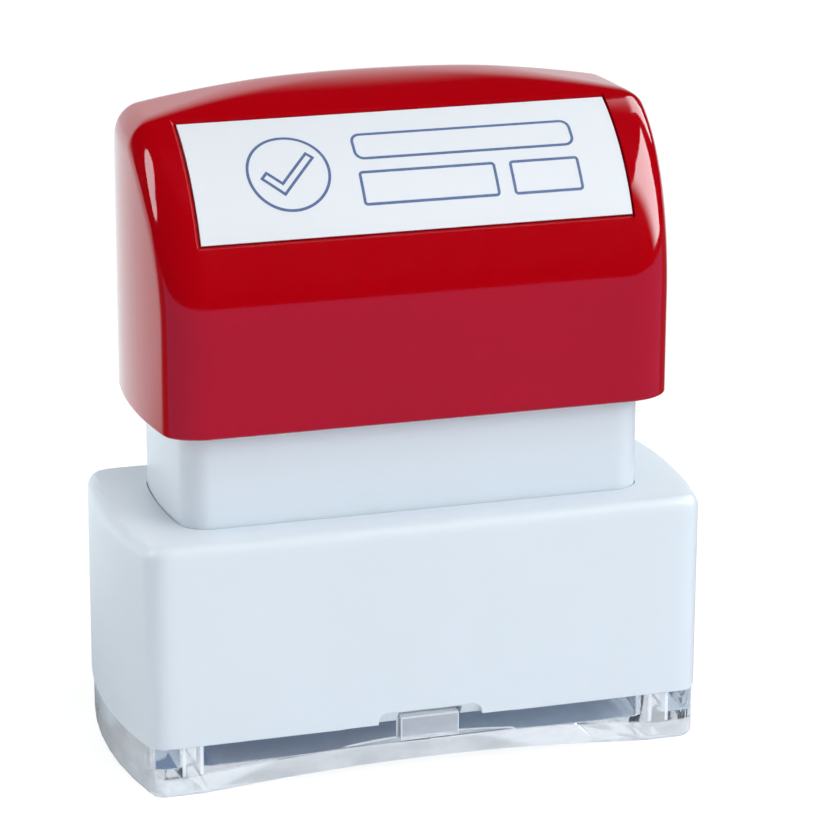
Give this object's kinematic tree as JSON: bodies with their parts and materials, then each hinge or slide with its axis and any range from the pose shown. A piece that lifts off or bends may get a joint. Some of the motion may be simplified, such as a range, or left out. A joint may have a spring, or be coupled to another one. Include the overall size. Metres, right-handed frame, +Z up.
{
  "type": "pre-inked message stamp",
  "caption": "Upright pre-inked hand stamp: a curved push cap with a label on a sprung plunger, in a rounded housing on a clear clip-on base cover.",
  "frame": {"origin": "on the table, under the middle of the stamp's outline", "axes": "+Z up, along the plunger's travel; +X along the stamp to the right; the label faces -Y"},
  "size_m": [0.0716, 0.0322, 0.0799],
  "materials": {
    "clear_plastic": "clear, polished",
    "white_plastic": "smooth, half gloss",
    "inner_plastic": "plain moulded",
    "dark_plastic": "plain moulded",
    "steel": "drawn wire",
    "ink_felt": "felt soaked with ink",
    "die_rubber": "fine-pored",
    "red_plastic": "high gloss",
    "label_film": "smooth printed film"
  },
  "bodies": {
    "cover": {"dust_cover": "clear_plastic"},
    "housing": {"housing": "white_plastic", "base_frame": "inner_plastic", "guide_post_left": "steel", "guide_post_right": "steel", "return_spring_left": "steel", "return_spring_right": "steel"},
    "plunger": {"plunger_body": "white_plastic", "die_carrier": "inner_plastic", "ink_pad": "ink_felt", "stamp_die": "die_rubber", "die_frame": "dark_plastic", "ink_wick_left": "ink_felt", "ink_wick_right": "ink_felt"},
    "handle": {"handle_cap": "red_plastic", "message_label": "label_film"}
  },
  "joints": [
    {"name": "cover_lift", "type": "slide", "parent": "cover", "child": "housing", "axis": [0, 0, 1], "range_m": [0, 0.03]},
    {"name": "press", "type": "slide", "parent": "housing", "child": "plunger", "axis": [0, 0, -1], "range_m": [0, 0.0085], "stiffness_N_per_m": 900, "springref_m": -0.004, "deforming": ["return_spring_left", "return_spring_right"]},
    {"name": "handle_lift", "type": "slide", "parent": "plunger", "child": "handle", "axis": [0, 0, 1], "range_m": [0, 0.03]}
  ]
}
